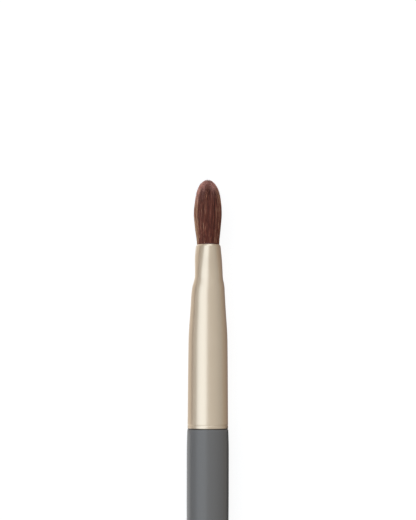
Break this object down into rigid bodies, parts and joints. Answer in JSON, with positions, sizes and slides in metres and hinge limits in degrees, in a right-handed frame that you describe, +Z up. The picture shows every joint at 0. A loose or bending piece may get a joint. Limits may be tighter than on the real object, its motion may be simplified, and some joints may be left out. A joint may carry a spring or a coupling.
{
  "type": "flat eye brush",
  "caption": "Flat eye make-up brush: tapered lacquered handle, thin drawn metal ferrule pressed oval at its mouth, and a flat, rounded head of brown hair.",
  "frame": {"origin": "centre of the brush's length and width on the table it lies on", "axes": "+Y along the brush towards the hair's tip, +Z up out of the table and out of the narrow side of the head, +X to the right of a viewer above with the tip ahead, and out of one of the head's wide faces; the brush's axis rises 0.88 degrees towards the tip, because it lies on the cone of its handle, and the head is rolled 6 degrees about that axis towards +X"},
  "size_m": [0.0078, 0.1698, 0.0085],
  "materials": {
    "handle_lacquer": "smooth grey lacquer with a soft satin sheen on turned wood",
    "ferrule_metal": "pale champagne anodised metal, satin bright",
    "adhesive": "clear amber set resin, inside the ferrule and out of sight",
    "hair": "fine reddish brown hair, soft sheen along the strands"
  },
  "bodies": {
    "root": {"handle": "handle_lacquer", "ferrule": "ferrule_metal", "glue_plug": "adhesive", "bristle_head": "hair"}
  },
  "joints": []
}
